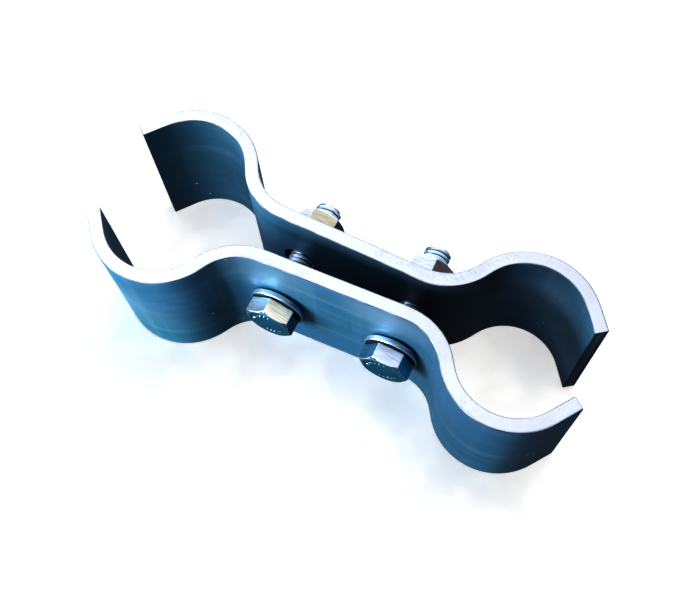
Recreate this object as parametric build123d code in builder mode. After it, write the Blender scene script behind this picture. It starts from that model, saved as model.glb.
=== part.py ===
from build123d import *
import math
import os

# Twin tube clamp: two formed straps standing on their long edges, drawn together by two hex bolts.
# X runs along the straps, Y from the bolt heads towards the nuts, Z up.
# The origin is midway between the straps, on the plane that they stand on.

# Strip
strip_width = 45.0
strip_thickness = 3.8
strip_edge_radius = 0.3

# Forming: a flat web, an S-bend on each side of it, then a tube seat and a straight lip. The seat is
# rounder than the tubes it holds, so a tube bears on the straights at both ends of its arc.
seat_radius = 15.4
seat_spacing = 101.0
neck_radius = 14.0
neck_angle = 59.0
neck_straight = 2.2
lip_angle = 52.5
lip_length = 7.5

# How the straps stand: the gap between their webs, and how far each is turned from parallel
web_gap = 9.1
strap_skew = 1.5

# Bolt holes. Their middle is off the middle of the web, and one strap is turned over to match. The bolts
# hang in them: the straps have slid along each other, so the bolts bear on the hole walls to one side.
bolt_spacing = 35.0
hole_offset = 1.25
hole_clearance = 1.0
hang_clearance = 0.14
hang_angle = 35.5

# Bolts
bolt_diameter = 8.0
bolt_length = 35.0
thread_pitch = 1.25
across_flats = 13.0
head_height = 5.4
head_face_height = 0.5
crown_ratio = 0.95
crown_angle = 30.0
head_turn = {"left": 36.5, "right": 54.5}

# Washers and nuts
washer_diameter = 16.0
washer_thickness = 1.6
washer_clearance = 0.2
washer_edge_radius = 0.35
lock_washer_diameter = 14.8
lock_washer_thickness = 2.0
lock_washer_clearance = 0.1
lock_washer_split = 1.2
lock_washer_slant = 25.0
nut_height = 6.8
nut_countersink = 0.35
nut_turn = {"left": 47.5, "right": 20.3}
thread_clearance = 0.05
seat_clearance = 0.02

# Worked out from the sizes above
skew = math.radians(strap_skew)
tilt = math.radians(neck_angle)
neck_inner_radius = neck_radius + strip_thickness
web_half = (
    seat_spacing / 2
    - (neck_inner_radius + seat_radius) * math.sin(tilt)
    - neck_straight * math.cos(tilt)
)
bolt_radius = bolt_diameter / 2
thread_depth = 0.613 * thread_pitch
crown_radius = crown_ratio * across_flats / 2
crown_slope = 1 / math.tan(math.radians(crown_angle))
bearing_radius = crown_radius - head_face_height
bolt_hang = hole_clearance - hang_clearance
strap_slip = bolt_hang * math.sin(math.radians(hang_angle))
bolt_drop = bolt_hang * math.cos(math.radians(hang_angle))
hole_centre_height = strip_width / 2
bolt_height = hole_centre_height - bolt_drop
bolt_centre = hole_offset + (web_gap + strip_thickness) / 2 * math.sin(skew)


def outer_face_depth(x):
    """Distance from the middle plane to a strap's outer face, x from the strap's middle, on web or bend."""
    side = math.copysign(1, x)
    bend_height = web_gap / 2 + strip_thickness + neck_radius
    bend_x = side * web_half * math.cos(skew) + bend_height * math.sin(skew)
    bend_depth = bend_height * math.cos(skew) - side * web_half * math.sin(skew)
    if side * (x - bend_x + neck_radius * math.sin(skew)) < 0:
        return (web_gap / 2 + strip_thickness) / math.cos(skew) - x * math.tan(skew)
    return bend_depth - math.sqrt(neck_radius**2 - (x - bend_x) ** 2)


def strap_plane(outward):
    """Plane of one strap's outline: x along the strip, y outwards, origin on the web's inner face.

    Outward is 1 for the rear strap and -1 for the front one.
    """
    x_dir = Vector(outward * math.cos(skew), -math.sin(skew), 0)
    y_dir = Plane(origin=(0, 0, 0), x_dir=x_dir, z_dir=(0, 0, 1)).y_dir
    origin = y_dir * (web_gap / 2) - Vector(outward * strap_slip, 0, 0)
    return Plane(origin=origin, x_dir=x_dir, z_dir=(0, 0, 1))


def strap_face_line(height):
    """Half of the strap's face line at this height above the web's inner face, from middle to lip."""
    web = Line((0, height), (web_half, height))
    neck = JernArc(web @ 1, web % 1, neck_inner_radius - height, neck_angle)
    neck_run = PolarLine(neck @ 1, neck_straight, direction=neck % 1)
    seat = JernArc(neck_run @ 1, neck_run % 1, seat_radius + height, -neck_angle - lip_angle)
    lip = PolarLine(seat @ 1, lip_length, direction=seat % 1)
    return lip @ 1


def strap(outward):
    """A formed strap: the bent outline raised to the strip's width, with two holes in its web."""
    plane = strap_plane(outward)
    hole_middle = plane.origin + plane.x_dir * (outward * hole_offset) + Vector(0, 0, hole_centre_height)
    web_plane = Plane(origin=hole_middle, x_dir=plane.x_dir, z_dir=-plane.y_dir)
    with BuildPart() as formed:
        with BuildSketch(plane):
            with BuildLine():
                inner_end = strap_face_line(0)
                outer_end = strap_face_line(strip_thickness)
                Line(inner_end, outer_end)
                mirror(about=Plane.YZ)
            make_face()
        extrude(amount=strip_width)
        long_edges = formed.faces().sort_by(Axis.Z)[0].edges() + formed.faces().sort_by(Axis.Z)[-1].edges()
        fillet(long_edges, strip_edge_radius)
        with Locations(web_plane):
            with GridLocations(bolt_spacing, 0, 2, 1):
                Hole(radius=bolt_radius + hole_clearance)
    return formed


def washer_seat(x_bolt, outward):
    """Distance from the middle plane to a washer's strap side. It bears on the web or the bend's start."""
    x_strap = x_bolt + outward * strap_slip
    reach = washer_diameter / 2
    return max(outer_face_depth(x_strap - reach), outer_face_depth(x_strap + reach)) + seat_clearance


def square_plane(x, y):
    """Plane square to a bolt, seen from the head side: x right, y up, z towards the head."""
    return Plane(origin=(x, y, bolt_height), x_dir=(1, 0, 0), z_dir=(0, -1, 0))


def crown(height, top_radius, bottom_radius):
    """Turned crown: a cone that takes the corners off a hexagon at its face."""
    Cone(bottom_radius, top_radius, height, align=(Align.CENTER, Align.CENTER, Align.MIN), mode=Mode.INTERSECT)


def hex_bolt(plane, turn):
    """Hex head bolt: the plane is under the head, the head rises from it and the shank drops from it."""
    with BuildPart(plane) as bolt:
        with BuildSketch(plane.offset(head_face_height)):
            RegularPolygon(across_flats / 2, 6, major_radius=False, rotation=turn)
        extrude(amount=head_height - head_face_height)
        crown(head_height, crown_radius, crown_radius + crown_slope * head_height)
        with BuildSketch(plane):
            Circle(bearing_radius)
        extrude(amount=head_face_height)
        with BuildSketch(plane):
            Circle(bolt_radius)
        extrude(amount=-bolt_length)
        chamfer(bolt.faces().sort_by(Axis.Y)[-1].edges(), thread_depth)
    return bolt


def hex_nut(plane, turn):
    """Hex nut crowned on both faces, with a countersunk bore: the plane is its outer face."""
    with BuildPart(plane) as nut:
        with BuildSketch(plane):
            RegularPolygon(across_flats / 2, 6, major_radius=False, rotation=turn)
        extrude(amount=nut_height)
        crown(nut_height, crown_radius, crown_radius + crown_slope * nut_height)
        crown(nut_height, crown_radius + crown_slope * nut_height, crown_radius)
        Hole(radius=bolt_radius + thread_clearance)
        bore_rims = nut.edges().filter_by(GeomType.CIRCLE).group_by(SortBy.RADIUS)[0]
        chamfer(bore_rims, nut_countersink)
    return nut


def plain_washer(plane):
    """Punched washer with a rolled outer edge: the plane is its face on the head side."""
    with BuildPart(plane) as washer:
        with BuildSketch(plane):
            Circle(washer_diameter / 2)
            Circle(bolt_radius + washer_clearance, mode=Mode.SUBTRACT)
        extrude(amount=-washer_thickness)
        rim = washer.edges().filter_by(GeomType.CIRCLE).group_by(SortBy.RADIUS)[-1]
        fillet(rim, washer_edge_radius)
    return washer


def lock_washer(plane):
    """Split spring washer, drawn flat, with its slanted split: the plane is its face on the head side."""
    inner_radius = bolt_radius + lock_washer_clearance
    outer_radius = lock_washer_diameter / 2
    with BuildPart(plane) as washer:
        with BuildSketch(plane):
            Circle(outer_radius)
            Circle(inner_radius, mode=Mode.SUBTRACT)
        extrude(amount=-lock_washer_thickness)
        with Locations(Location((0, outer_radius, -lock_washer_thickness / 2), (0, lock_washer_slant, 0))):
            Box(
                lock_washer_split,
                2 * (outer_radius - inner_radius) + bolt_radius,
                3 * lock_washer_thickness,
                mode=Mode.SUBTRACT,
            )
    return washer


def save(builder, name):
    """Label one finished piece and write it as its own file."""
    builder.part.label = name
    export_step(builder.part, f"parts/{name}.step")


os.makedirs("parts", exist_ok=True)

save(strap(-1), "front_strap")
save(strap(1), "rear_strap")

# Each bolt's stack, counted outwards from the strap. The washers reach past the flat of the web, so each
# one bears on the strap at one edge only.
for side, x_bolt in (("left", bolt_centre - bolt_spacing / 2), ("right", bolt_centre + bolt_spacing / 2)):
    head_seat = washer_seat(x_bolt, -1) + washer_thickness
    save(plain_washer(square_plane(x_bolt, -head_seat)), f"head_washer_{side}")
    save(hex_bolt(square_plane(x_bolt, -head_seat), head_turn[side]), f"bolt_{side}")

    nut_washer_face = washer_seat(x_bolt, 1)
    lock_washer_face = nut_washer_face + washer_thickness
    nut_face = lock_washer_face + lock_washer_thickness + seat_clearance + nut_height
    save(plain_washer(square_plane(x_bolt, nut_washer_face)), f"nut_washer_{side}")
    save(lock_washer(square_plane(x_bolt, lock_washer_face)), f"lock_washer_{side}")
    save(hex_nut(square_plane(x_bolt, nut_face), nut_turn[side]), f"nut_{side}")
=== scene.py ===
import math

import bmesh
import bpy
import numpy as np
from mathutils import Matrix, Vector
from mathutils.kdtree import KDTree


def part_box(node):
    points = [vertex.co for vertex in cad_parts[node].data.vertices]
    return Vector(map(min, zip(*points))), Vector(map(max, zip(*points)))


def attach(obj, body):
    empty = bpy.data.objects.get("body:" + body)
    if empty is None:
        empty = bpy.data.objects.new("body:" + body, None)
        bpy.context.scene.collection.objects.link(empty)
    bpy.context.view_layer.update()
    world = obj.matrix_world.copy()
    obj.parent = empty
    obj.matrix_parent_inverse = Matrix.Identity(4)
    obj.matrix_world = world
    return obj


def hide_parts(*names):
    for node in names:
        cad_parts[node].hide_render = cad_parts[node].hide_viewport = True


# Twin tube clamp. Sizes in the dictionaries are millimetres and degrees, the scene is in metres.
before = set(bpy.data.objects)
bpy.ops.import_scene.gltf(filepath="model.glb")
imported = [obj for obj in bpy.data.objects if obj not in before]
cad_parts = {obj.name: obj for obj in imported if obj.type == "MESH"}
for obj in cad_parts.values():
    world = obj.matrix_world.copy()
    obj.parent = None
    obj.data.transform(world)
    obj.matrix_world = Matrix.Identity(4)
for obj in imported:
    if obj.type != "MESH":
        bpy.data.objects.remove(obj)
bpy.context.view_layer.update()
print("frame loaded")

mm = 0.001


# Shader maths

class Wire:
    # one socket of a material's nodes: + - * / and the rest add the node that does the sum
    def __init__(self, tree, socket=None):
        self.tree = tree
        self.socket = socket

    def node(self, kind, settings=None, inputs=None, output=0):
        made = self.tree.nodes.new(kind)
        for name, value in (settings or {}).items():
            if name == "stops":
                self.setStops(made.color_ramp, value)
            else:
                setattr(made, name, value)
        for name, value in (inputs or {}).items():
            if isinstance(value, Wire):
                self.tree.links.new(value.socket, made.inputs[name])
            else:
                made.inputs[name].default_value = value
        return Wire(self.tree, made.outputs[output] if made.outputs else None)

    def setStops(self, ramp, stops):
        ramp.interpolation = "EASE"
        while len(ramp.elements) < len(stops):
            ramp.elements.new(1.0)
        for element, (place, colour) in zip(ramp.elements, stops):
            element.position = place
            element.color = colour

    def sum(self, operation, first, second=0.0, third=0.0):
        return self.node("ShaderNodeMath", {"operation": operation}, {0: first, 1: second, 2: third})

    def __add__(self, other):
        return self.sum("ADD", self, other)

    def __radd__(self, other):
        return self.sum("ADD", other, self)

    def __sub__(self, other):
        return self.sum("SUBTRACT", self, other)

    def __rsub__(self, other):
        return self.sum("SUBTRACT", other, self)

    def __mul__(self, other):
        return self.sum("MULTIPLY", self, other)

    def __rmul__(self, other):
        return self.sum("MULTIPLY", other, self)

    def __truediv__(self, other):
        return self.sum("DIVIDE", self, other)

    def __abs__(self):
        return self.sum("ABSOLUTE", self)

    def atLeast(self, other):
        return self.sum("MAXIMUM", self, other)

    def rise(self, start, end):
        # 0 below start, 1 above end, smooth between; falls instead where start is the larger
        return self.node(
            "ShaderNodeMapRange",
            {"interpolation_type": "SMOOTHSTEP"},
            {"Value": self, "From Min": start, "From Max": end},
        )

    def near(self, place, reach):
        return abs(self - place).rise(reach, 0.0)

    def stretch(self, scales):
        return self.node("ShaderNodeVectorMath", {"operation": "MULTIPLY"}, {0: self, 1: scales})

    def parts(self):
        return [self.node("ShaderNodeSeparateXYZ", None, {0: self}, place) for place in range(3)]

    def noise(self, scales, detail=2.0, roughness=0.5):
        # cloud from 0 to 1 at these scales, in clouds a metre
        return self.node(
            "ShaderNodeTexNoise",
            {"noise_dimensions": "3D"},
            {"Vector": self.stretch(scales), "Scale": 1.0, "Detail": detail, "Roughness": roughness},
        )

    def grains(self, scale):
        # distance from the nearest grain's middle, as a share of the grain's size
        return self.node(
            "ShaderNodeTexVoronoi", {"feature": "F1"}, {"Vector": self, "Scale": scale, "Randomness": 1.0}
        )

    def attribute(self, name, output):
        return self.node("ShaderNodeAttribute", {"attribute_name": name}, None, output)

    def tint(self, first, second, factor):
        return self.node("ShaderNodeMix", {"data_type": "RGBA"}, {0: factor, 6: first, 7: second}, 2)

    def shadeBy(self, colour, amount):
        # colour times a grey amount
        grey = self.node("ShaderNodeCombineXYZ", None, {0: amount, 1: amount, 2: amount})
        settings = {"data_type": "RGBA", "blend_type": "MULTIPLY"}
        return self.node("ShaderNodeMix", settings, {0: 1.0, 6: colour, 7: grey}, 2)

    def surface(self, colour, roughness, metallic, height, depth, specular=0.5, glow=0.0):
        # the finished surface; depth is what a height of 1 stands proud, in millimetres
        bump = self.node(
            "ShaderNodeBump", None, {"Height": height, "Strength": 1.0, "Distance": depth * mm}
        )
        shader = self.node(
            "ShaderNodeBsdfPrincipled",
            None,
            {
                "Base Color": colour,
                "Roughness": roughness,
                "Metallic": metallic,
                "Specular IOR Level": specular,
                "Emission Color": colour,
                "Emission Strength": glow,
                "Normal": bump,
            },
        )
        self.node("ShaderNodeOutputMaterial", None, {"Surface": shader})


def newMaterial(name):
    material = bpy.data.materials.new(name)
    material.use_nodes = True
    material.node_tree.nodes.clear()
    return material, Wire(material.node_tree)


steelFinishAndLight = {
    "blueSteel": (0.030, 0.150, 0.290, 1),
    "tealSteel": (0.024, 0.150, 0.235, 1),
    "paleSteel": (0.20, 0.36, 0.54, 1),
    "scale": (0.006, 0.014, 0.022, 1),  # mill scale, also laid on as painted shade
    "cutEdge": (0.252, 0.255, 0.262, 1),
    "cutPits": (0.10, 0.12, 0.23, 1),
    "cutTint": (0.258, 0.260, 0.290, 1),
    "paintedRimShade": (0.06, 0.08, 0.18, 1),  # painted shade: a dark line where the cut edge rounds off into a face
    "lipEnd": (0.008, 0.018, 0.028, 1),
    "dust": (0.75, 0.80, 0.88, 1),
}
# inner and outer: how clear of scale that face is, as (place along the bar, share); set to the photograph's
# light and dark, so they paint mill scale as well as painted shade and painted reflection along the face
# blueCut: where along the bar the cut edge starts to turn bluer
# spots: (along, across, reach, strength, tone), painted light patches; scratches: (along, across, lean,
# length)
steelWearAndLight = {
    "front": {
        "inner": ((-79, 0.20), (0, 0.30), (79, 0.20)),
        "outer": (
            (-79, 0.42), (-65, 0.22), (-57, 0.60), (-46, 0.38), (-28, 0.41), (-16, 0.72), (24, 0.72),
            (33, 0.66), (38, 0.27), (44, 0.58), (51, 1.00), (61, 0.76), (72, 0.85),
        ),
        "blueCut": -45,
        "paintedLightSpots": (
            (21, 39, 18, 0.36, "paleSteel"),
            (-16, 40, 15, 0.72, "paleSteel"),
            (66, 24, 16, 0.30, "paleSteel"),
            (51, 22, 12, 0.12, "paleSteel"),
        ),
        "scratches": (
            (0.3, 33, 84, 2.4),
            (-5, 23, 62, 4.5),
            (-4, 20, 20, 2.0),
            (52, 33, -8, 5.0),
            (49, 31, -3, 4.0),
            (47, 29.5, 7, 3.0),
        ),
    },
    "rear": {
        "inner": (
            (-79, 0.08), (-66, 0.24), (-54, 0.36), (-36, 0.46), (-28, 0.48), (-5, 0.12), (20, 0.03),
            (42, 0.02), (52, 0.30), (60, 0.36), (70, 0.36), (79, 0.32),
        ),
        "outer": ((-79, 0.40), (0, 0.50), (79, 0.40)),
        "blueCut": 50,
        "paintedLightSpots": (
            (58, 27, 17, 0.85, "paleSteel"),
            (71, 14, 21, 0.90, "paleSteel"),
            (60, 47, 20, 0.85, "scale"),
            (-34, 30, 12, 0.15, "paleSteel"),
        ),
        "scratches": ((62, 31, 80, 3.0), (-60, 20, 15, 5.0)),
    },
}


spotShape = (0.8, 1.2)  # a spot is wider than it is high
scratchWidth = 0.44


def rolledSteel(name, halfLength, thickness, wearAndLight):
    # bar coordinates: x along the bar, y through it, z across it, as it was before bending
    finishAndLight = steelFinishAndLight
    material, wire = newMaterial(name)
    bar = wire.attribute("flatBar", 1)
    along, through, across = bar.parts()
    normal = wire.node("ShaderNodeTexCoord", None, None, 1)
    upright = normal.parts()[2]
    cut = abs(upright).rise(0.90, 0.98)
    corner = abs(upright).rise(0.12, 0.45) * (1 - cut)
    lipEnd = abs(along).rise(halfLength - 0.0002, halfLength - 0.0001)

    cloud = bar.noise((28, 60, 28), 3)
    rolling = bar.noise((14, 300, 900), 3)  # grain drawn out along the bar
    forming = bar.noise((320, 60, 16), 2)  # soft lines across it from the bending tool
    grain = bar.noise((1500, 1500, 1500), 2)

    drift = (bar.noise((45, 45, 20), 2) - 0.5) * 0.012
    place = (along + drift) / (2 * halfLength) + 0.5
    faces = []
    for side in ("inner", "outer"):
        stops = []
        for stop, share in wearAndLight[side]:
            stops.append((0.5 + stop * mm / (2 * halfLength), (share, share, share, 1)))
        faces.append(wire.node("ShaderNodeValToRGB", {"stops": stops}, {"Fac": place}))
    clear = wire.tint(*faces, through.rise(0.3 * thickness, 0.7 * thickness))

    face = wire.tint(finishAndLight["blueSteel"], finishAndLight["tealSteel"], cloud.rise(0.35, 0.65))
    # painted highlights: pale spots over both heads and on the seats; painted shade: a dark scale spot high
    # on the rear strap
    spotPlace = bar.stretch((spotShape[0], 0, spotShape[1]))
    for spotAlong, spotAcross, reach, strength, tone in wearAndLight["paintedLightSpots"]:
        middle = (spotAlong * spotShape[0] * mm, 0, spotAcross * spotShape[1] * mm)
        gap = wire.node(
            "ShaderNodeVectorMath", {"operation": "DISTANCE"}, {0: spotPlace, 1: middle}, 1
        )
        face = wire.tint(face, finishAndLight[tone], gap.rise(reach * mm, 0.0) * strength)
    bands = bar.noise((16, 50, 240), 2)
    pale = forming.rise(0.50, 0.80) * 0.12 + rolling.rise(0.5, 0.8) * 0.10 + bands.rise(0.45, 0.72) * 0.20
    face = wire.tint(face, finishAndLight["paleSteel"], pale)
    # painted shade and painted light along each face: mill scale where the clear share is low, bare steel
    # where high
    face = wire.tint(finishAndLight["scale"], face, clear)
    face = wire.tint(face, finishAndLight["scale"], bar.noise((45, 60, 30), 4).rise(0.60, 0.80) * 0.35)
    face = wire.shadeBy(face, 0.80 + 0.28 * rolling + 0.12 * grain)
    specks = bar.grains(260.0).rise(0.075, 0.05)
    face = wire.tint(face, finishAndLight["dust"], specks * bar.noise((55, 55, 55), 1).rise(0.58, 0.62))

    scratched = 0.0
    for spotAlong, spotAcross, lean, length in wearAndLight["scratches"]:
        east, north = along - spotAlong * mm, across - spotAcross * mm
        cosine, sine = math.cos(math.radians(lean)), math.sin(math.radians(lean))
        run, off = east * cosine + north * sine, north * cosine - east * sine
        scratched = (run.near(0, length / 2 * mm) * off.near(0, scratchWidth / 2 * mm)).atLeast(scratched)
    face = wire.tint(face, finishAndLight["scale"], scratched * 0.75)

    slanted = wire.node("ShaderNodeCombineXYZ", None, {0: along + through * 0.6, 1: through, 2: across})
    hatch = slanted.noise((2700, 500, 300), 2)  # shear lines, slanting over the cut edge
    pits = bar.noise((2300, 2300, 2300), 2).rise(0.54, 0.66)
    patches = bar.noise((60, 60, 60), 2).rise(0.42, 0.58)
    outwards = through.rise(0.1 * thickness, 0.6 * thickness)
    marked = (pits * 0.45 + hatch.rise(0.48, 0.70) * 0.40) * patches * outwards
    edge = wire.tint(finishAndLight["cutEdge"], finishAndLight["cutPits"], marked)
    blueFrom = abs(wearAndLight["blueCut"]) * mm
    bluer = (along * math.copysign(1, wearAndLight["blueCut"])).rise(blueFrom, blueFrom + 0.02)
    edge = wire.tint(edge, finishAndLight["cutTint"], bluer * 0.8)
    # painted shade line along the cut edge next to each face
    rim = through.rise(thickness - 0.0006, thickness - 0.0002) + through.rise(0.0005, 0.0002) * 0.5
    edge = wire.tint(edge, finishAndLight["paintedRimShade"], rim * (0.35 + 0.45 * bluer))

    scaled = wire.tint(finishAndLight["scale"], finishAndLight["cutTint"], bar.noise((70, 0, 0), 2).rise(0.45, 0.60) * 0.5)
    colour = wire.tint(face, scaled, corner)
    colour = wire.tint(colour, edge, cut)
    sheared = through.near(0.45 * thickness, 0.0011) * 2.2
    colour = wire.tint(colour, wire.shadeBy(finishAndLight["lipEnd"], 0.8 + sheared), lipEnd)

    faceRough = 0.40 + 0.10 * rolling + 0.06 * cloud
    rough = faceRough * (1 - cut) + (0.50 + 0.1 * hatch) * cut
    metal = 0.70 - 0.55 * cut
    ripple = rolling * 0.25 + forming * 0.35 + grain * 0.12 - scratched * 0.8
    marks = cut * (hatch * 0.5 + pits * -0.5)
    wire.surface(colour, rough, metal, ripple * (1 - cut) + marks, 0.030)
    return material


zincFinishAndLight = {
    "zinc": (0.60, 0.70, 0.80, 1),
    "blueZinc": (0.34, 0.47, 0.68, 1),
    # crownTeal: painted reflection on the turned crown
    "crownTeal": (0.065, 0.180, 0.280, 1),
    # groove: painted shade for the thread's grooves
    "groove": (0.045, 0.040, 0.045, 1),
}
# sides: the tone of a side that turns towards x (0) or z (2), between two shares of the way; set to the
# photograph's facets, so it paints highlight, shade and reflection there as well as the plating's own
# colour
# end and dull: colour of the head-side faces square to the axis and its share; painted shade and reflection
# metal: how metallic it all is
# tear and torn: where a punched rim starts to be torn, from its middle towards the head, and its colour
zincKinds = {
    "bolt": {
        "sides": (
            (0, -0.60, -0.75, (0.085, 0.230, 0.320, 1)),
            (2, 0.86, 0.91, (0.68, 0.64, 0.52, 1)),
            (2, 0.95, 0.98, (0.36, 0.40, 0.50, 1)),
            (0, 0.84, 0.88, (0.080, 0.230, 0.320, 1)),
            (0, 0.93, 0.98, (0.020, 0.045, 0.070, 1)),
        ),
        "end": (0.014, 0.090, 0.150, 1),
        "dullAndShaded": 1.0,
        "metal": 1.0,
    },
    "leftNut": {
        "sides": (
            (0, -0.50, -0.70, (0.85, 0.87, 0.90, 1)),
            (2, 0.86, 0.91, (0.25, 0.23, 0.165, 1)),
            (0, 0.80, 0.85, (0.030, 0.026, 0.024, 1)),
        ),
        "end": (0.45, 0.55, 0.66, 1),
        "dullAndShaded": 0.5,
        "metal": 0.45,
    },
    "rightNut": {
        "sides": (
            (2, 0.86, 0.91, (0.31, 0.32, 0.35, 1)),
            (0, 0.50, 0.55, (0.10, 0.080, 0.078, 1)),
        ),
        "end": (0.45, 0.55, 0.66, 1),
        "dullAndShaded": 0.5,
        "metal": 0.70,
    },
    "washer": {
        "sides": (
            (0, 0.30, 0.80, (0.09, 0.18, 0.26, 1)),
            (2, 0.80, 0.95, (0.26, 0.36, 0.44, 1)),
        ),
        "end": (0.004, 0.018, 0.030, 1),
        "dullAndShaded": 1.0,
        "metal": 1.0,
        "tear": -0.30,
        "torn": (0.16, 0.28, 0.36, 1),
    },
}


def zincPlate(name, kind):
    finishAndLight = zincFinishAndLight
    material, wire = newMaterial(name)
    place = wire.attribute("onAxis", 1)
    upAxis = place.parts()[1]
    relief = wire.attribute("relief", 2)
    normal = wire.node("ShaderNodeTexCoord", None, None, 1).parts()
    normalAlong = abs(normal[1])
    endFace = normalAlong.rise(0.90, 0.97)
    crown = normalAlong.rise(0.70, 0.84) * (1 - endFace)
    side = normalAlong.rise(0.5, 0.2)

    cloud = place.noise((160, 160, 160), 3)
    drawn = place.noise((2600, 110, 2600), 2)  # streaks drawn along the axis
    brushed = place.noise((260, 3800, 260), 2)  # fine lines round it, left by the die
    grain = place.noise((2200, 2200, 2200), 2)
    radius = wire.node("ShaderNodeVectorMath", {"operation": "LENGTH"}, {0: place.stretch((1, 0, 1))}, 1)
    turned = wire.node(
        "ShaderNodeTexNoise",
        {"noise_dimensions": "1D"},
        {"W": radius, "Scale": 4200.0, "Detail": 2.0},
    )

    colour = wire.tint(finishAndLight["zinc"], finishAndLight["blueZinc"], cloud.rise(0.45, 0.75) * 0.6)
    # painted highlight, painted shade and painted reflection, by the way each facet faces
    for axis, start, end, tone in kind["sides"]:
        colour = wire.tint(colour, tone, normal[axis].rise(start, end) * side)
    colour = wire.shadeBy(colour, 1 + (brushed.rise(0.35, 0.65) - 0.6) * side * 0.45)
    if "torn" in kind:
        tearStart = kind["tear"] * mm
        colour = wire.tint(colour, kind["torn"], upAxis.rise(tearStart, tearStart - 0.00008) * side)
    headSide = upAxis.rise(0.001, -0.001)
    # painted shade and painted reflection on the head-side end faces and, in teal, on the crown; these
    # faces are rougher too
    dullAndShaded = endFace * headSide * kind["dullAndShaded"] * (1 - relief.rise(0.35, 0.8) * 0.7)
    colour = wire.tint(colour, finishAndLight["crownTeal"], crown * kind["dullAndShaded"])
    colour = wire.tint(colour, wire.shadeBy(kind["end"], 0.7 + 0.6 * cloud), dullAndShaded)
    # painted shade down in the thread's grooves
    colour = wire.tint(colour, finishAndLight["groove"], relief.rise(-0.55, -0.95))
    rough = 0.30 + 0.10 * cloud + 0.12 * dullAndShaded + 0.10 * grain
    height = (drawn * 0.20 + brushed * 0.15) * side + turned * 0.20 * (1 - side) + grain * 0.10
    metal = kind["metal"] - 0.4 * endFace * (1 - headSide)
    wire.surface(colour, rough, metal, height, 0.016)
    return material


floorFinish = {
    "paper": (0.88, 0.863, 0.84, 1),
    "paperShade": (0.765, 0.755, 0.742, 1),
    "glow": 0.60,  # light that the paper gives off itself, as a share of its colour
}


def palePaper():
    material, wire = newMaterial("palePaper")
    place = wire.node("ShaderNodeTexCoord", None, None, 3)
    soft = place.noise((60, 60, 60), 4)
    colour = wire.tint(floorFinish["paper"], floorFinish["paperShade"], soft.rise(0.40, 0.62))
    fibres = place.noise((900, 900, 900), 2)
    wire.surface(colour, 0.9, 0.0, fibres, 0.02, specular=0.1, glow=floorFinish["glow"])
    return material


# Mesh helpers

def skin(rings, hoop=False):
    # quads between neighbouring rings of points; a hoop closes on itself, else both ends are capped
    rowCount, pointCount = rings.shape[:2]
    numbers = np.arange(rowCount * pointCount).reshape(rowCount, pointCount)
    lower = numbers if hoop else numbers[:-1]
    upper = np.roll(numbers, -1, axis=0) if hoop else numbers[1:]
    quads = np.stack([lower, np.roll(lower, -1, 1), np.roll(upper, -1, 1), upper], axis=-1)
    faces = quads.reshape(-1, 4).tolist()
    if not hoop:
        faces += [numbers[0].tolist(), numbers[-1].tolist()]
    return rings.reshape(-1, 3), faces


def newMesh(name, points, faces, trimPlanes=()):
    # a closed mesh; what lies past each of trimPlanes, a (point, normal) pair, is cut off and capped
    mesh = bpy.data.meshes.new(name)
    mesh.from_pydata((np.asarray(points) * mm).tolist(), [], faces)
    work = bmesh.new()
    work.from_mesh(mesh)
    bmesh.ops.remove_doubles(work, verts=work.verts, dist=0.0001 * mm)
    for point, normal in trimPlanes:
        cut = bmesh.ops.bisect_plane(
            work,
            geom=work.verts[:] + work.edges[:] + work.faces[:],
            plane_co=Vector(point) * mm,
            plane_no=normal,
            clear_outer=True,
        )
        rim = [item for item in cut["geom_cut"] if isinstance(item, bmesh.types.BMEdge)]
        bmesh.ops.holes_fill(work, edges=rim, sides=0)
    bmesh.ops.recalc_face_normals(work, faces=work.faces)
    work.to_mesh(mesh)
    work.free()
    return mesh


def joinMeshes(mesh, tool, operation):
    # mesh with tool added to it or cut out of it
    target = bpy.data.objects.new(mesh.name, mesh)
    cutter = bpy.data.objects.new(tool.name, tool)
    for item in (target, cutter):
        bpy.context.scene.collection.objects.link(item)
    modifier = target.modifiers.new("join", "BOOLEAN")
    modifier.operation = operation
    modifier.solver = "EXACT"
    modifier.object = cutter
    bpy.context.view_layer.update()
    made = bpy.data.meshes.new_from_object(target.evaluated_get(bpy.context.evaluated_depsgraph_get()))
    for item in (target, cutter):
        bpy.data.objects.remove(item)
    return made


def setAttribute(mesh, name, kind, values):
    layer = mesh.attributes.get(name) or mesh.attributes.new(name, kind, "POINT")
    field = "vector" if kind == "FLOAT_VECTOR" else "value"
    layer.data.foreach_set(field, np.asarray(values, float).ravel())


def meshPoints(mesh):
    points = np.empty(len(mesh.vertices) * 3)
    mesh.vertices.foreach_get("co", points)
    return points.reshape(-1, 3) / mm


clampPieces = bpy.data.collections.new("clampPieces")


def addPiece(name, mesh, material, body, node, sharpAngle=32.0):
    # the finished piece stands for the frame's node and moves with its body
    mesh.name = name
    mesh.materials.clear()
    mesh.materials.append(material)
    mesh.shade_smooth()
    mesh.set_sharp_from_angle(angle=math.radians(sharpAngle))
    piece = bpy.data.objects.new(name, mesh)
    bpy.context.scene.collection.objects.link(piece)
    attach(piece, body)
    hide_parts(node)
    clampPieces.objects.link(piece)
    return piece


def smoothStep(values):
    values = np.clip(values, 0.0, 1.0)
    return values * values * (3 - 2 * values)


# Straps

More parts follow.
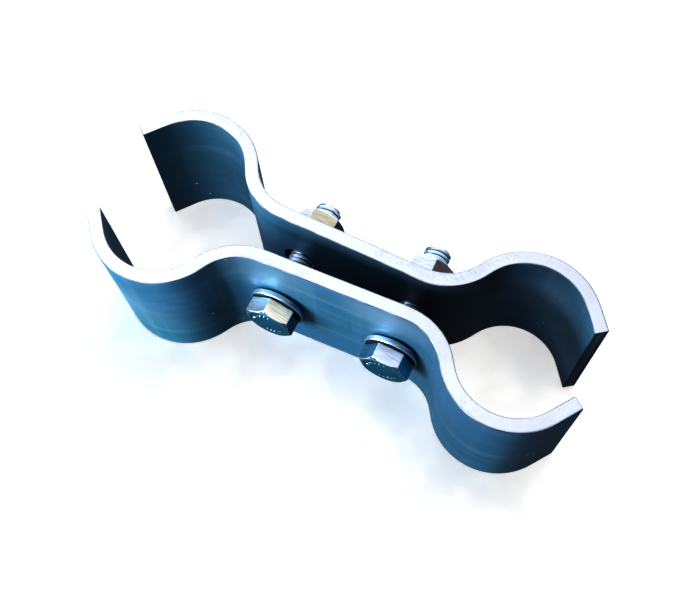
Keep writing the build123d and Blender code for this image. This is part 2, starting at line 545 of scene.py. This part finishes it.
strapSizes = {
    "width": 45.0,
    "thickness": 3.8,
    "edgeRadius": 0.3,
    "seatRadius": 15.4,
    "seatSpacing": 101.0,
    "neckRadius": 14.0,
    "neckAngle": 59.0,
    "neckStraight": 2.2,
    "lipAngle": 52.5,
    "lipLength": 7.5,
    "endBevel": 0.12,
    "skew": 1.5,
    "boltSpacing": 35.0,
    "holeOffset": 1.25,
    "holeRadius": 5.0,
    "holeBevel": 0.25,
    "edgeCurl": 0.22,  # how far a bend draws the cut edge down on its stretched side
    "curlReach": 5.0,
    "bendBlend": 1.5,
    "arcStep": 1.6,
    "straightStep": 1.2,
    "edgeRows": 6,
    "faceRows": 26,
}


def faceLine(sizes):
    # the strap's inner face from its middle to one lip: rows of along, x, y, heading and bend
    innerNeck = sizes["neckRadius"] + sizes["thickness"]
    seat = sizes["seatRadius"]
    tilt = math.radians(sizes["neckAngle"])
    webHalf = sizes["seatSpacing"] / 2 - (innerNeck + seat) * math.sin(tilt)
    webHalf -= sizes["neckStraight"] * math.cos(tilt)
    rows = [(0.0, 0.0, 0.0, 0.0, 0.0)]

    def goStraight(length):
        count = max(1, round(length / sizes["straightStep"]))
        along, x, y, heading, _ = rows[-1]
        for step in range(1, count + 1):
            run = length * step / count
            newX, newY = x + run * math.cos(heading), y + run * math.sin(heading)
            rows.append((along + run, newX, newY, heading, 0.0))

    def goRound(radius, angle):
        # a positive angle turns outwards
        count = round(abs(angle) / sizes["arcStep"])
        along, x, y, heading, _ = rows[-1]
        side = math.copysign(1, angle)
        for step in range(1, count + 1):
            turn = math.radians(angle) * step / count
            newX = x + side * radius * (math.sin(heading + turn) - math.sin(heading))
            newY = y - side * radius * (math.cos(heading + turn) - math.cos(heading))
            rows.append((along + radius * abs(turn), newX, newY, heading + turn, side))

    goStraight(webHalf)
    goRound(innerNeck, sizes["neckAngle"])
    goStraight(sizes["neckStraight"])
    goRound(seat, -sizes["neckAngle"] - sizes["lipAngle"])
    goStraight(sizes["lipLength"] - sizes["endBevel"])
    goStraight(sizes["endBevel"])
    return np.array(rows)


def barSection(sizes, inset):
    # the bar's section as a closed loop of (through, across) points with rounded corners
    t, w, r = sizes["thickness"] - inset, sizes["width"] - inset, sizes["edgeRadius"]
    low = inset + r
    arcs = []
    for through, across, start in ((low, w - r, 180), (t - r, w - r, 90), (t - r, low, 0), (low, low, -90)):
        angles = np.radians(start - np.linspace(0, 90, 5))
        arcs.append(np.column_stack([through + r * np.cos(angles), across + r * np.sin(angles)]))
    loop = []
    for place, arc in enumerate(arcs):
        count = sizes["edgeRows"] if place % 2 == 0 else sizes["faceRows"]
        goal = arcs[(place + 1) % 4][0]
        shares = np.linspace(0, 1, count + 1)[1:-1, None]
        loop += [arc, arc[-1] + (goal - arc[-1]) * shares]
    return np.vstack(loop)


def averageBend(along, bend, reach):
    # the bend averaged over this reach to both sides
    total = np.concatenate([[0], np.cumsum(np.diff(along) * bend[1:])])
    return (np.interp(along + reach, along, total) - np.interp(along - reach, along, total)) / (2 * reach)


def holeCutter(sizes, outward):
    # both bolt holes' volume with a bevel at each face
    bevel, radius, t = sizes["holeBevel"], sizes["holeRadius"], sizes["thickness"]
    angles = np.linspace(0, 2 * math.pi, 72, endpoint=False)
    points, faces = [], []
    for side in (-1, 1):
        middle = outward * sizes["holeOffset"] + side * sizes["boltSpacing"] / 2
        rings = []
        for depth, spread in ((-0.5, bevel + 0.5), (bevel, 0), (t - bevel, 0), (t + 0.5, bevel + 0.5)):
            r = radius + spread
            rings.append(np.column_stack([
                middle + r * np.cos(angles),
                np.full_like(angles, depth),
                sizes["width"] / 2 + r * np.sin(angles),
            ]))
        newPoints, newFaces = skin(np.array(rings))
        faces += [[number + len(points) * len(newPoints) for number in face] for face in newFaces]
        points.append(newPoints)
    return newMesh("boltHoles", np.vstack(points), faces)


def setBarPlaces(mesh, points, flat):
    # each point's place in the bar before bending; a point new at a hole lies on the flat web as it is
    known = KDTree(len(points))
    for number, point in enumerate(points):
        known.insert(point, number)
    known.balance()
    bar = meshPoints(mesh)
    for number, point in enumerate(bar.copy()):
        _, nearest, distance = known.find(point)
        if distance < 0.001:
            bar[number] = flat[nearest]
    setAttribute(mesh, "flatBar", "FLOAT_VECTOR", bar * mm)


def strapMesh(name, sizes, outward):
    # the bar bent along its face line; outward is 1 for the rear strap and -1 for the front one
    half = faceLine(sizes)
    line = np.vstack([half[:0:-1] * (-1, -1, 1, -1, 1), half])
    along, x, y, heading, bend = line.T
    bend = averageBend(along, bend, sizes["bendBlend"])
    rings, flat = [], []
    for place in range(len(line)):
        atEnd = place in (0, len(line) - 1)
        through, across = barSection(sizes, sizes["endBevel"] if atEnd else 0.0).T
        share = through / sizes["thickness"]
        stretched = 1 - share if bend[place] > 0 else share
        sunk = sizes["edgeCurl"] * abs(bend[place]) * stretched
        top = smoothStep(1 - (sizes["width"] - across) / sizes["curlReach"])
        bottom = smoothStep(1 - across / sizes["curlReach"])
        rings.append(np.column_stack([
            x[place] - through * math.sin(heading[place]),
            y[place] + through * math.cos(heading[place]),
            across + sunk * (bottom - top),
        ]))
        flat.append(np.column_stack([np.full_like(through, along[place]), through, across]))
    points, faces = skin(np.array(rings))
    mesh = newMesh(name, points, faces)
    mesh = joinMeshes(mesh, holeCutter(sizes, outward), "DIFFERENCE")
    setBarPlaces(mesh, points, np.vstack(flat))

    skew = math.radians(sizes["skew"])
    xAxis = (outward * math.cos(skew), -math.sin(skew), 0)
    yAxis = (math.sin(skew), outward * math.cos(skew), 0)
    mesh.transform(Matrix((xAxis, yAxis, (0, 0, 1))).transposed().to_4x4())
    low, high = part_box(name)
    points = meshPoints(mesh) * mm
    middle = Vector((points.min(0) + points.max(0)) / 2)
    shift = (low + high) / 2 - middle
    mesh.transform(Matrix.Translation((shift.x, shift.y, 0)))
    return mesh


# Fasteners

threadSizes = {
    "diameter": 8.0,
    "pitch": 1.25,
    "depth": 0.766,
    "stepsPerTurn": 72,
    "runout": 2.5,
    "nutGap": 0.055,
}
# one turn's outline: share of the pitch, share of the depth
threadOutline = (
    (0.0, 0.0), (0.045, 0.0), (0.075, 0.035), (0.40, 0.955), (0.44, 1.0),
    (0.50, 1.0), (0.56, 1.0), (0.60, 0.955), (0.925, 0.035), (0.955, 0.0),
)


def threadRod(name, middle, start, end, sizes, radiusLimits):
    # a right-hand threaded rod along +y; the turns' places depend only on y, so bolt and nut match
    pitch, steps = sizes["pitch"], sizes["stepsPerTurn"]
    turns = range(math.floor(start / pitch) - 2, math.ceil(end / pitch) + 1)
    angles = np.linspace(0, 2 * math.pi, steps + 1)
    rows = []
    for turn in turns:
        for share, depth in threadOutline:
            y = (turn + share) * pitch + pitch * angles / (2 * math.pi)
            radius = radiusLimits(y, np.full_like(y, depth))
            rows.append(np.column_stack([
                middle.x + radius * np.sin(angles), y, middle.z + radius * np.cos(angles)
            ]))
    rows = np.array(rows)
    numbers = np.arange(rows.shape[0] * rows.shape[1]).reshape(rows.shape[:2])
    quads = np.stack([numbers[:-1, :-1], numbers[:-1, 1:], numbers[1:, 1:], numbers[1:, :-1]], axis=-1)
    trimPlanes = (((0, start, 0), (0, -1, 0)), ((0, end, 0), (0, 1, 0)))
    return newMesh(name, rows.reshape(-1, 3), quads.reshape(-1, 4).tolist(), trimPlanes)


hexCorner = {"sharpness": 14.0, "steps": (0.4, 0.8, 1.9)}


def hexRadius(acrossFlats, angles, turn):
    # distance from the axis to a hexagon's side at each angle, with its corners a little rounded
    past = (angles - turn) % 60 - 30
    nearSide = acrossFlats / 2 / np.cos(np.radians(past))
    nextSide = acrossFlats / 2 / np.cos(np.radians(60 - np.abs(past)))
    sharpness = hexCorner["sharpness"]
    return nearSide - np.log1p(np.exp((nearSide - nextSide) * sharpness)) / sharpness


def hexAngles(columns, turn):
    # even steps round the axis, with closer ones at the corners
    even = np.linspace(0, 60, columns // 6, endpoint=False)
    steps = np.array(hexCorner["steps"])
    oneSide = np.unique(np.concatenate([even, steps, 60 - steps]).round(4))
    return turn + np.concatenate([oneSide + 60 * place for place in range(6)])


def ringAt(middle, radii, angles, y):
    angles = np.radians(angles)
    return np.column_stack([
        middle.x + radii * np.cos(angles), y * np.ones_like(angles), middle.z + radii * np.sin(angles)
    ])


crownAngle = 30.0


def crownRows(hexagon, crown, height, soft):
    # radii and heights up a hexagon's side and over its turned crown
    lean = math.radians(crownAngle)
    crownStart = height - (hexagon - crown) * math.tan(lean)
    return [
        (hexagon, crownStart - 2 * soft),
        (hexagon, crownStart - soft),
        (hexagon - soft * math.cos(lean), crownStart + soft * math.sin(lean)),
        (crown + soft * math.cos(lean) + 0 * hexagon, height - soft * math.sin(lean)),
        (crown - soft + 0 * hexagon, height),
    ]


boltSizes = {
    "acrossFlats": 13.0,
    "headHeight": 5.4,
    "faceHeight": 0.5,
    "bearingRadius": 5.675,
    "crownRadius": 6.175,
    "edgeSoftness": 0.055,
    "columns": 288,
    "turn": {"left": 36.5, "right": 54.5},
    "dish": 0.16,
    "dishRadius": 6.0,
    "dishSlope": 1.1,
    "bareRadius": 2.1,  # the marks stay outside this
    "ringStep": 0.085,
    "markRing": 4.15,
    "markGroups": ((84, 181), (260, 340)),
    "markStep": 18.0,
    "markLength": (0.30, 0.75),
    "markWidth": 0.27,
    "markSoftness": 0.15,
    "markHeight": 0.16,
    "markSeed": 7,
}


def headMarks(sizes, radii, angles):
    # two rows of plain raised bars and pips round the head's face, from 0 to 1
    chance = np.random.default_rng(sizes["markSeed"])
    marks = np.zeros_like(radii * angles)
    x, z = radii * np.cos(np.radians(angles)), radii * np.sin(np.radians(angles))
    for start, end in sizes["markGroups"]:
        for place in np.radians(np.arange(start, end, sizes["markStep"])):
            lean = place + math.radians(chance.uniform(-15, 15))
            ring = sizes["markRing"] + chance.uniform(-0.15, 0.15)
            length = chance.uniform(*sizes["markLength"])
            dx, dz = x - ring * math.cos(place), z - ring * math.sin(place)
            along = np.abs(dx * math.cos(lean) + dz * math.sin(lean))
            aside = np.abs(dz * math.cos(lean) - dx * math.sin(lean))
            past = np.maximum(along - length / 2, aside - sizes["markWidth"] / 2)
            marks = np.maximum(marks, smoothStep(0.5 - past / sizes["markSoftness"]))
    return marks


def boltHead(sizes, middle, seat, turn):
    # from the bearing face under the head to its marked end face, towards -y
    soft = sizes["edgeSoftness"]
    angles = hexAngles(sizes["columns"], turn)
    hexagon = hexRadius(sizes["acrossFlats"], angles, turn)
    bearing, face, height = sizes["bearingRadius"], sizes["faceHeight"], sizes["headHeight"]
    rows = [(0.01, 0), (bearing - soft, 0), (bearing, soft), (bearing, face), (hexagon - soft, face)]
    rows += [(hexagon, face + soft), (hexagon, face + 2 * soft)]
    rows += crownRows(hexagon, sizes["crownRadius"], height, soft)
    rings = [ringAt(middle, radii, angles, seat - up) for radii, up in rows]
    close = np.arange(sizes["dishRadius"] - 0.05, sizes["bareRadius"], -sizes["ringStep"])
    for radius in [*close, 2.0, 1.5, 1.0, 0.5, 0.01]:
        up = height - sizes["dish"] * smoothStep((sizes["dishRadius"] - radius) / sizes["dishSlope"])
        up = up + sizes["markHeight"] * headMarks(sizes, radius, angles)
        rings.append(ringAt(middle, radius, angles, seat - up))
    return newMesh("boltHead", *skin(np.array(rings)))


def setFastenerPlaces(mesh, middle, relief):
    # places from the fastener's own axis, and how far a point stands proud of or below its surface
    points = meshPoints(mesh)
    offset = points - np.array(middle)
    setAttribute(mesh, "onAxis", "FLOAT_VECTOR", offset * mm)
    radii = np.hypot(offset[:, 0], offset[:, 2])
    setAttribute(mesh, "relief", "FLOAT", relief(radii, points[:, 1]))


def boltMesh(side, sizes, thread):
    low, high = (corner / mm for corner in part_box("bolt_" + side))
    middle = (low + high) / 2
    seat = low.y + sizes["headHeight"]
    radius, depth = thread["diameter"] / 2, thread["depth"]

    def rodRadius(y, depthShare):
        growing = smoothStep((y - seat) / thread["runout"])
        return np.minimum(radius - depth * depthShare * growing, radius - depth + np.maximum(high.y - y, 0))

    def relief(radii, y):
        marks = (seat - sizes["headHeight"] + sizes["dish"] - y) / sizes["markHeight"]
        groove = np.where(y > high.y - depth, 0, (radii - radius) / depth)
        inDish = radii < sizes["dishRadius"] - sizes["dishSlope"]
        return np.where(y > seat, np.clip(groove, -1, 0), np.where(inDish, np.clip(marks, 0, 1), 0))

    rod = threadRod("rod", middle, seat - 0.3, high.y, thread, rodRadius)
    head = boltHead(sizes, middle, seat, sizes["turn"][side])
    mesh = joinMeshes(head, rod, "UNION")
    setFastenerPlaces(mesh, middle, relief)
    return mesh


nutSizes = {
    "acrossFlats": 13.0,
    "height": 6.8,
    "crownRadius": 6.175,
    "edgeSoftness": 0.09,
    "columns": 192,
    "turn": {"left": 47.5, "right": 20.3},
    "countersink": 4.4,
    "faceRing": 5.2,  # the last ring of points on the flat of a face, outside the bore
}


def nutMesh(side, sizes, thread):
    low, high = (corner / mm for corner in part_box("nut_" + side))
    middle = (low + high) / 2
    angles = hexAngles(sizes["columns"], sizes["turn"][side])
    hexagon = hexRadius(sizes["acrossFlats"], angles, sizes["turn"][side])
    halfRows = crownRows(hexagon, sizes["crownRadius"], sizes["height"] / 2, sizes["edgeSoftness"])
    halfRows.append((sizes["faceRing"], sizes["height"] / 2))
    rows = [(radii, -up) for radii, up in reversed(halfRows)] + halfRows
    rings = np.array([ringAt(middle, radii, angles, middle.y + up) for radii, up in rows])
    body = newMesh("nutBody", *skin(rings))
    radius, depth = thread["diameter"] / 2 + thread["nutGap"], thread["depth"]

    def boreRadius(y, depthShare):
        bore = radius - depth * depthShare
        return np.maximum(bore, sizes["countersink"] - np.minimum(y - low.y, high.y - y))

    def relief(radii, y):
        return np.where(radii < radius + 0.02, np.clip((radii - radius) / depth, -1, 0), 0)

    bore = threadRod("bore", middle, low.y - 0.4, high.y + 0.4, thread, boreRadius)
    mesh = joinMeshes(body, bore, "DIFFERENCE")
    setFastenerPlaces(mesh, middle, relief)
    return mesh


washerSizes = {
    "boreRadius": 4.2,
    "outerRadius": 8.0,
    "thickness": 1.6,
    "rolledEdge": 0.35,
    "sharpEdge": 0.12,
    "columns": 160,
}


def washerMesh(node, sizes):
    # a punched washer: a rolled edge outside, a small break at the bore
    low, high = (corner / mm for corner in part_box(node))
    middle = (low + high) / 2
    outer, bore, half = sizes["outerRadius"], sizes["boreRadius"], sizes["thickness"] / 2
    section = []
    for radius, across, size, start in (
        (outer, 1, sizes["rolledEdge"], 90),
        (outer, -1, sizes["rolledEdge"], 0),
        (bore, -1, sizes["sharpEdge"], -90),
        (bore, 1, sizes["sharpEdge"], -180),
    ):
        inwards = -1 if radius == outer else 1
        for step in range(5):
            angle = math.radians(start - 22.5 * step)
            section.append((
                radius + inwards * size + size * math.cos(angle),
                across * (half - size) + size * math.sin(angle),
            ))
    angles = np.linspace(0, 360, sizes["columns"], endpoint=False)
    rings = np.array([ringAt(middle, radius, angles, middle.y + up) for radius, up in section])
    mesh = newMesh(node, *skin(rings, hoop=True))
    setFastenerPlaces(mesh, middle, lambda radii, y: 0 * radii)
    return mesh


lockSizes = {
    "boreRadius": 4.1,
    "outerRadius": 7.4,
    "thickness": 2.0,
    "edge": 0.22,
    "split": 1.2,
    "slant": 25.0,
    "columns": 150,
    "endBevel": 0.12,
}


def lockWasherMesh(side, sizes):
    # a bar wound once round, its two ends cut on a slant at the top
    low, high = (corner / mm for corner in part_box("lock_washer_" + side))
    middle = (low + high) / 2
    halfWide = (sizes["outerRadius"] - sizes["boreRadius"]) / 2
    midRadius = sizes["boreRadius"] + halfWide
    half, edge = sizes["thickness"] / 2, sizes["edge"]
    section = []
    for out, up, start in ((1, 1, 90), (1, -1, 0), (-1, -1, -90), (-1, 1, -180)):
        for step in range(4):
            angle = math.radians(start - 30 * step)
            section.append((
                out * (halfWide - edge) + edge * math.cos(angle),
                up * (half - edge) + edge * math.sin(angle),
            ))
    section = np.array(section)
    lean = math.tan(math.radians(sizes["slant"]))
    gap = sizes["split"] / 2 / math.cos(math.radians(sizes["slant"]))
    bevel = sizes["endBevel"]
    rings = []
    for place in range(-1, sizes["columns"] + 2):
        share = min(max(place, 0), sizes["columns"]) / sizes["columns"]
        shrink = 1 - bevel / half * (place < 0 or place > sizes["columns"])
        out, up = (section * shrink).T
        # sideways distance from the split's middle line, positive to +x, at the two ends
        inset = gap + (0 if place < 0 or place > sizes["columns"] else bevel)
        radius = midRadius + out
        first = np.arcsin((inset - lean * up) / radius)
        last = 2 * math.pi - np.arcsin((inset + lean * up) / radius)
        angle = first + (last - first) * share
        rings.append(np.column_stack([
            middle.x + radius * np.sin(angle), middle.y + up, middle.z + radius * np.cos(angle)
        ]))
    mesh = newMesh("lockWasher", *skin(np.array(rings)))
    setFastenerPlaces(mesh, middle, lambda radii, y: 0 * radii)
    return mesh


barHalf, barThickness = faceLine(strapSizes)[-1, 0] * mm, strapSizes["thickness"] * mm
for body, outward in (("front", -1), ("rear", 1)):
    node = body + "_strap"
    steel = rolledSteel(body + "Steel", barHalf, barThickness, steelWearAndLight[body])
    addPiece(body + "StrapBar", strapMesh(node, strapSizes, outward), steel, body, node)
print("straps bent")

boltZinc = zincPlate("boltZinc", zincKinds["bolt"])
washerZinc = zincPlate("washerZinc", zincKinds["washer"])
for side in ("left", "right"):
    name = side.capitalize()
    nutZinc = zincPlate(side + "NutZinc", zincKinds[side + "Nut"])
    bolt = boltMesh(side, boltSizes, threadSizes)
    addPiece("bolt" + name, bolt, boltZinc, "front", "bolt_" + side)
    nut = nutMesh(side, nutSizes, threadSizes)
    addPiece("nut" + name, nut, nutZinc, side + "_nut", "nut_" + side)
    for body, end in (("front", "head"), ("rear", "nut")):
        node = f"{end}_washer_{side}"
        addPiece(f"{end}Washer{name}", washerMesh(node, washerSizes), washerZinc, body, node)
    lockWasher = lockWasherMesh(side, lockSizes)
    addPiece("lockWasher" + name, lockWasher, washerZinc, "rear", "lock_washer_" + side)
print("fasteners made")


# Studio

floorReach = 2500.0


def addFloor():
    corners = [(x * floorReach, y * floorReach, 0) for x, y in ((-1, -1), (1, -1), (1, 1), (-1, 1))]
    mesh = newMesh("floor", corners, [(0, 1, 2, 3)])
    mesh.materials.append(palePaper())
    floor = bpy.data.objects.new("floor", mesh)
    bpy.context.scene.collection.objects.link(floor)
    # pale as it is, the floor throws no light back up at the steel
    floor.visible_diffuse = False
    floor.visible_glossy = False


lamps = {
    "overhead": {"place": (60, 290, 770), "size": (900, 560), "power": 6.0, "colour": (1.0, 0.99, 0.97)},
    "sideWindow": {
        "place": (-400, 50, 190),
        "size": (300, 200),
        "power": 5.0,
        "colour": (0.66, 0.74, 1.0),
        "clampOnly": True,
    },
    "frontWindow": {
        "place": (-250, -300, 160),
        "size": (240, 160),
        "power": 8.0,
        "colour": (0.80, 0.92, 1.0),
        "clampOnly": True,
    },
    "upperWindow": {
        "place": (-150, -180, 330),
        "size": (160, 160),
        "power": 1.0,
        "colour": (0.80, 0.92, 1.0),
        "clampOnly": True,
    },
    "backWindow": {
        "place": (-90, 460, 90),
        "size": (460, 160),
        "power": 4.0,
        "colour": (0.86, 0.94, 1.0),
        "clampOnly": True,
    },
    "warmPanel": {
        "place": (450, 290, 600),
        "size": (260, 220),
        "power": 0.30,
        "colour": (1.0, 0.93, 0.74),
        "clampOnly": True,
    },
    "warmWall": {
        "place": (520, 240, 190),
        "size": (300, 200),
        "power": 0.08,
        "colour": (1.0, 0.72, 0.68),
        "clampOnly": True,
    },
}


def addLamp(name, place, size, power, colour, clampOnly=False):
    # a lamp that is clampOnly doesn't light the floor
    light = bpy.data.lights.new(name, "AREA")
    light.shape = "RECTANGLE"
    light.size, light.size_y = (side * mm for side in size)
    light.energy = power
    light.color = colour
    lamp = bpy.data.objects.new(name, light)
    lamp.location = Vector(place) * mm
    lamp.rotation_euler = (-lamp.location).to_track_quat("-Z", "Y").to_euler()
    if clampOnly:
        lamp.light_linking.receiver_collection = clampPieces
    bpy.context.scene.collection.objects.link(lamp)


room = {
    "colour": (0.55, 0.70, 0.90, 1),
    "strength": 0.12,
    "backdrop": (0.62, 0.61, 0.60, 1),  # what shows past the floor's far edge in a low view
}


def lightRoom():
    world = bpy.data.worlds.new("room")
    world.use_nodes = True
    world.node_tree.nodes.clear()
    wire = Wire(world.node_tree)
    inView = wire.node("ShaderNodeLightPath")
    light = wire.node("ShaderNodeBackground", None, {"Color": room["colour"], "Strength": room["strength"]})
    backdrop = wire.node("ShaderNodeBackground", None, {"Color": room["backdrop"], "Strength": 1.0})
    seen = wire.node("ShaderNodeMixShader", None, {0: inView, 1: light, 2: backdrop})
    wire.node("ShaderNodeOutputWorld", None, {"Surface": seen})
    bpy.context.scene.world = world


cameraSizes = {
    "place": (51.738, -90.021, 262.379),
    "azimuth": 25.795,
    "elevation": 66.546,
    "roll": -0.983,
    "focalLength": 47.148,
    "shift": (-0.02911, -0.01258),
}


def addCamera(sizes):
    azimuth, elevation, roll = (math.radians(sizes[key]) for key in ("azimuth", "elevation", "roll"))
    back = Vector((
        math.sin(azimuth) * math.cos(elevation),
        -math.cos(azimuth) * math.cos(elevation),
        math.sin(elevation),
    ))
    right = Vector((math.cos(azimuth), math.sin(azimuth), 0))
    up = back.cross(right)
    axes = (
        right * math.cos(roll) + up * math.sin(roll),
        up * math.cos(roll) - right * math.sin(roll),
        back,
    )
    lens = bpy.data.cameras.new("camera")
    lens.lens = sizes["focalLength"]
    lens.shift_x, lens.shift_y = sizes["shift"]
    lens.clip_start = 0.01
    camera = bpy.data.objects.new("camera", lens)
    turn = Matrix(axes).transposed().to_4x4()
    camera.matrix_world = Matrix.Translation(Vector(sizes["place"]) * mm) @ turn
    bpy.context.scene.collection.objects.link(camera)
    bpy.context.scene.camera = camera


addFloor()
for name, lamp in lamps.items():
    addLamp(name, **lamp)
lightRoom()
addCamera(cameraSizes)
bpy.context.scene.view_settings.view_transform = "Standard"
bpy.context.scene.view_settings.look = "Medium High Contrast"
print("studio lit")
